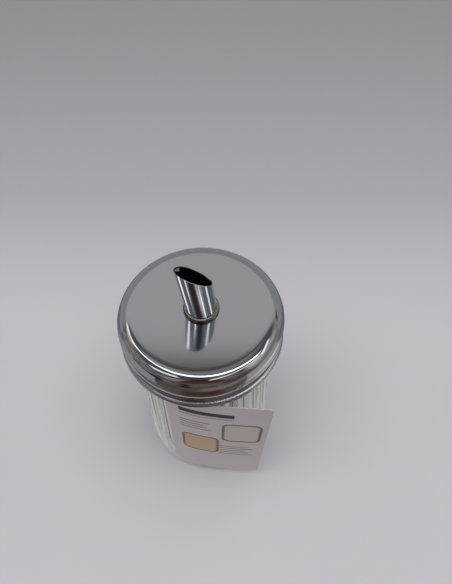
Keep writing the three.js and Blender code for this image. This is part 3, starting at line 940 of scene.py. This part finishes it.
# The UV's second number is the distance from the mouth on the outer wall, in
# millimetres. It is negative on the lip and large inside the tube.
from_mouth = np.full((len(rings), len(tube_angle)), 100.0)
wall_share = np.linspace(1, 0, WALL_ROWS)[:, None]
from_mouth[:WALL_ROWS] = wall_share * (outer_mouth - outer_foot) / MM
from_mouth[WALL_ROWS:WALL_ROWS + LIP_ROWS] = -1.0
tube_uv = np.stack(np.broadcast_arrays(tube_angle[None, :], from_mouth), axis=-1)
tube = build("beak_tube", np.stack(rings), uv=tube_uv, close_rows=True, sharp=50)

polish = Finish("polished_tube")
polish_place = polish.place()
draw_lines = polish.noise(polish.stretch(polish_place, (1500.0, 1500.0, 14.0)), 1.0, 2.0)
haze = polish.noise(polish_place, 160.0)
mouth_distance = polish.split(polish.add("ShaderNodeTexCoord", output="UV"))[1]
px, py, _ = polish.split(polish_place)
far_side = (py + px * 0.5).rise(-5 * MM, -1 * MM)
lip = 1 - mouth_distance.rise(-0.5, 0.0)
near_side = (1 - far_side) * px.rise(-5.2 * MM, -4.2 * MM)
# Painted highlight: a pale, less metallic band just below the mouth on the near side.
painted_rim_highlight = (1 - mouth_distance.rise(0.30, 0.50)) * near_side
# The lip is painted pale on the near side, a painted highlight, and nearly black on the far side,
# a painted shade.
lip_highlight_and_shade = polish.mix(near_side, (0.05, 0.05, 0.05), (0.72, 0.72, 0.72))
bright_tube = polish.mix(haze, (0.66, 0.66, 0.665), (0.70, 0.70, 0.70))
worn_and_painted_edge = lip.math("MAXIMUM", painted_rim_highlight)
polish.set(Base_Color=polish.mix(worn_and_painted_edge, bright_tube, lip_highlight_and_shade), Metallic=1 - painted_rim_highlight * 0.6)
polish.set(Roughness=0.02 + draw_lines * 0.02 + haze.rise(0.55, 0.85) * 0.04 + worn_and_painted_edge * 0.25)
polish.bump(draw_lines, 0.003 * MM, 0.25)
dress(tube, polish, "dosing_tube", "lid")


# Spout collar
# A narrow steel ferrule round the tube where it leaves the lid, with a rounded upper edge.
# Its colour is painted reflection: dark brown, paler on its right side, with a painted
# highlight along its inner edge.
COLLAR_ROUNDING = 0.4 * MM
collar_low, collar_high = (corner[2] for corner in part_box("spout_collar"))
collar_high -= COLLAR_ROUNDING
COLLAR_WIDTH = 0.75 * MM
collar_inner = TUBE + 0.02 * MM
collar_outer = TUBE + TUBE_GAP + COLLAR_WIDTH - 0.08 * MM
collar_crown = (collar_outer - collar_inner) * 0.48
collar_middle = (collar_low + collar_high) / 2
collar_line = rounded(
    [(collar_inner, collar_middle), (collar_inner, collar_low), (collar_outer, collar_low),
     (collar_outer, collar_high), (collar_inner, collar_high), (collar_inner, collar_middle)],
    [0.1 * MM, 0.1 * MM, collar_crown, collar_crown], steps=10)
collar = build("spout_ferrule", tube_ring(collar_line, 200))
brown = Finish("collar_steel_painted_reflection")
brown_place = brown.place()
brown_tint = brown.noise(brown_place, 150.0, 2.0)
bx, by, _ = brown.split(brown_place)
collar_centre = tube_centre(collar_high)
tube_x = bx - float(collar_centre[0])
tube_y = by - float(collar_centre[1])
from_tube = (tube_x * tube_x + tube_y * tube_y).math("SQRT")
# Painted reflection: the steel is painted dark brown, and a paler straw on its right side as
# painted light.
collar_painted_reflection = brown.mix(brown_tint, (0.07, 0.055, 0.045), (0.13, 0.11, 0.09))
painted_lit_side = (tube_x + tube_y * 0.3).rise(0.0, 6 * MM)
straw = brown.mix(brown_tint, (0.26, 0.235, 0.205), (0.40, 0.37, 0.33))
collar_painted_reflection = brown.mix(painted_lit_side, collar_painted_reflection, straw)
# Painted highlight: a pale, less metallic line along the inner edge, tan on the right side.
painted_edge_highlight = 1 - from_tube.rise(collar_inner + 0.24 * MM, collar_inner + 0.38 * MM)
edge_highlight_tone = brown.mix(painted_lit_side, (0.80, 0.78, 0.74), (0.46, 0.41, 0.34))
brown.set(Base_Color=brown.mix(painted_edge_highlight, collar_painted_reflection, edge_highlight_tone))
brown.set(Metallic=1 - painted_edge_highlight * 0.7)
brown.set(Roughness=0.14 + brown_tint * 0.12 + painted_edge_highlight * 0.2)
brown.bump(brown.noise(brown_place, 2500.0), 0.01 * MM, 0.3)
dress(collar, brown, "spout_collar", "lid")


# Card tape and label card
# A thin printed card is stuck to the front left of the jar with a strip of clear
# double-sided tape. It follows the glass, then runs straight on past its right side.
CARD_WIDTH = 45.5 * MM
CARD_LIFT = 8.8 * MM
CARD_HEIGHT = SKIRT_BOTTOM - 2.5 * MM - CARD_LIFT
CARD_THICK = 0.38 * MM
CARD_CORNER = 3.0 * MM
CARD_START = math.radians(-120)
CARD_LEAVE = math.radians(-113)
CARD_EASE = 16.0 * MM
TAPE_THICK = 0.4 * MM
TAPE_GAP = 0.15 * MM
TAPE_MARGIN = 4.5 * MM
TAPE_INSET = 1.0 * MM
CARD_STAND_OFF = TAPE_GAP + TAPE_THICK + TAPE_GAP
BACK_SHIFT = 100.0


def jar_radius(height):
    """The jar's outer radius at its crests: a slim cone from the heel to the waist."""
    share = np.clip((height - HEEL) / (WAIST_HEIGHT - HEEL), 0, 1)
    return JAR_BASE + (JAR_WAIST - JAR_BASE) * share


def wrap(along, height, out):
    """A sheet that hugs the jar, then leaves it and straightens out little by little.

    Past the place where it leaves, its heading dies away to that of the X axis.
    """
    radius = jar_radius(height)
    hugged = radius * (CARD_LEAVE - CARD_START)
    angle = CARD_START + np.minimum(along, hugged) / radius
    free = np.maximum(along - hugged, 0)
    faded = np.exp(-free / CARD_EASE)
    start = angle + math.pi / 2
    heading = start * faded
    forward = free - start ** 2 * CARD_EASE * (1 - faded ** 2) / 4
    aside = start * CARD_EASE * (1 - faded)
    x = radius * np.cos(angle) + forward + out * np.sin(heading)
    y = radius * np.sin(angle) + aside - out * np.cos(heading)
    return np.stack(np.broadcast_arrays(x, y, height), axis=-1)


def wrapped_sheet(start, width, low, tall, out, thick, corner, columns, rows):
    """Points and UVs of a bent sheet: each row goes out along the front and back again.

    The rows draw in on a circle near the top and bottom, which rounds the corners.
    The UVs are the place on the sheet in millimetres; the back is shifted to the left.
    """
    up = tall * (1 - np.cos(np.linspace(0, math.pi, rows))) / 2
    into = np.maximum(corner - np.minimum(up, tall - up), 0)
    inset = corner - np.sqrt(np.maximum(corner ** 2 - into ** 2, 0))
    across = np.linspace(0, 1, columns)[None, :]
    along = start + inset[:, None] + across * (width - 2 * inset[:, None])
    height = (low + up)[:, None]
    front = wrap(along, height, out + thick)
    back = wrap(along, height, out)[:, ::-1]
    grid = np.concatenate([front, back], axis=1)
    face = np.stack(np.broadcast_arrays(along / MM, up[:, None] / MM), axis=-1)
    uv = np.concatenate([face, face[:, ::-1] - np.array([BACK_SHIFT, 0.0])], axis=1)
    return grid, uv


def cap_ends(piece):
    """Closes the open ends of a sheet's loop."""
    work = bmesh.new()
    work.from_mesh(piece.data)
    rim = [edge for edge in work.edges if edge.is_boundary]
    bmesh.ops.holes_fill(work, edges=rim, sides=0)
    bmesh.ops.recalc_face_normals(work, faces=work.faces)
    work.to_mesh(piece.data)
    work.free()


tape_width = JAR_WAIST * (CARD_LEAVE - CARD_START) - TAPE_INSET
tape_grid, tape_uv = wrapped_sheet(
    TAPE_INSET, tape_width, CARD_LIFT + TAPE_MARGIN, CARD_HEIGHT - 2 * TAPE_MARGIN,
    TAPE_GAP, TAPE_THICK, TAPE_THICK, 12, 24)
sticky = build("sticky_strip", tape_grid, uv=tape_uv, sharp=40)
cap_ends(sticky)
tape = Finish("clear_tape", Roughness=0.35)
tape_grain = tape.noise(tape.place(), 900.0)
tape.set(Base_Color=tape.mix(tape_grain, (0.62, 0.60, 0.52), (0.70, 0.68, 0.60)))
tape.bump(tape_grain, 0.02 * MM, 0.4)
dress(sticky, tape, "card_tape", "jar")

card_grid, card_uv = wrapped_sheet(
    0.0, CARD_WIDTH, CARD_LIFT, CARD_HEIGHT, CARD_STAND_OFF, CARD_THICK, CARD_CORNER, 60, 80)
card = build("printed_card", card_grid, uv=card_uv, sharp=40)
cap_ends(card)

board = Finish("printed_board", Roughness=0.55)
across, up, _ = board.split(board.add("ShaderNodeTexCoord", output="UV"))
fibre = board.noise(board.stretch(board.place(), (900.0, 900.0, 500.0)), 1.0, 3.0)
blotch = board.noise(board.place(), 60.0, 2.0)
BOARD_LIGHT = (0.50, 0.455, 0.455)
BOARD_DARK = (0.43, 0.39, 0.392)
BOARD_BACK = (0.47, 0.46, 0.44)
INK_BLACK = (0.035, 0.03, 0.035)
INK_GREY = (0.20, 0.18, 0.19)
INK_RED = (0.32, 0.09, 0.10)
TILE_TAN = (0.46, 0.31, 0.20)
TILE_CREAM = (0.45, 0.40, 0.365)
TILE_BROWN = (0.17, 0.115, 0.085)


def tile(centre_u, centre_v, half_u, half_v, round_by):
    """Distance in millimetres outside a round-cornered rectangle, negative inside it."""
    du = (across - centre_u).math("ABSOLUTE") - (half_u - round_by)
    dv = (up - centre_v).math("ABSOLUTE") - (half_v - round_by)
    outside_u = du.math("MAXIMUM", 0)
    outside_v = dv.math("MAXIMUM", 0)
    beyond = (outside_u * outside_u + outside_v * outside_v).math("SQRT")
    return beyond + du.math("MAXIMUM", dv).math("MINIMUM", 0) - round_by


def rules(low, high, left, right, pitch, thickness):
    """A block of thin rules of uneven length, one to each pitch of height."""
    place = (up - low) / pitch
    count = place.math("FLOOR")
    end = right - (count * 0.37).math("FRACT") * (right - left) * 0.35
    line = place.math("FRACT").band(0.5 - thickness / 2, 0.5 + thickness / 2, 0.08)
    inside = up.band(low, high, 0.05) * across.band(left, 60, 0.2)
    return line * inside * (1 - (across - end).rise(0, 0.3))


# The layout in millimetres from the lower left corner: a centre, half sizes, a corner
BAR = (18, 76.5, 12, 1.9, 0.5)
RED_RULE = (18, 72.6, 12, 0.35, 0.1)
PANEL = (9.0, 11.0, 4.0)
PANEL_BORDER = 1.3
colour = board.mix(blotch * 0.6 + fibre * 0.4, BOARD_LIGHT, BOARD_DARK)
colour = board.mix(1 - tile(*BAR).rise(-0.15, 0.15), colour, INK_BLACK)
colour = board.mix(1 - tile(*RED_RULE).rise(-0.15, 0.15), colour, INK_RED)
colour = board.mix(rules(26, 40, 24, 41, 2.8, 0.28), colour, INK_GREY)
colour = board.mix(rules(56, 67, 6, 20, 2.75, 0.3), colour, INK_GREY)
for centre, fill in (((34, 57), TILE_CREAM), ((15, 38), TILE_TAN)):
    outside = tile(*centre, *PANEL)
    colour = board.mix(1 - outside.rise(-0.2, 0.2), colour, TILE_BROWN)
    colour = board.mix(1 - (outside + PANEL_BORDER).rise(-0.35, 0.35), colour, fill)
colour = board.mix(1 - across.rise(-0.5 * BACK_SHIFT, -0.4 * BACK_SHIFT), colour, BOARD_BACK)
board.set(Base_Color=colour)
board.bump(fibre, 0.02 * MM, 0.35)
dress(card, board, "label_card", "jar")
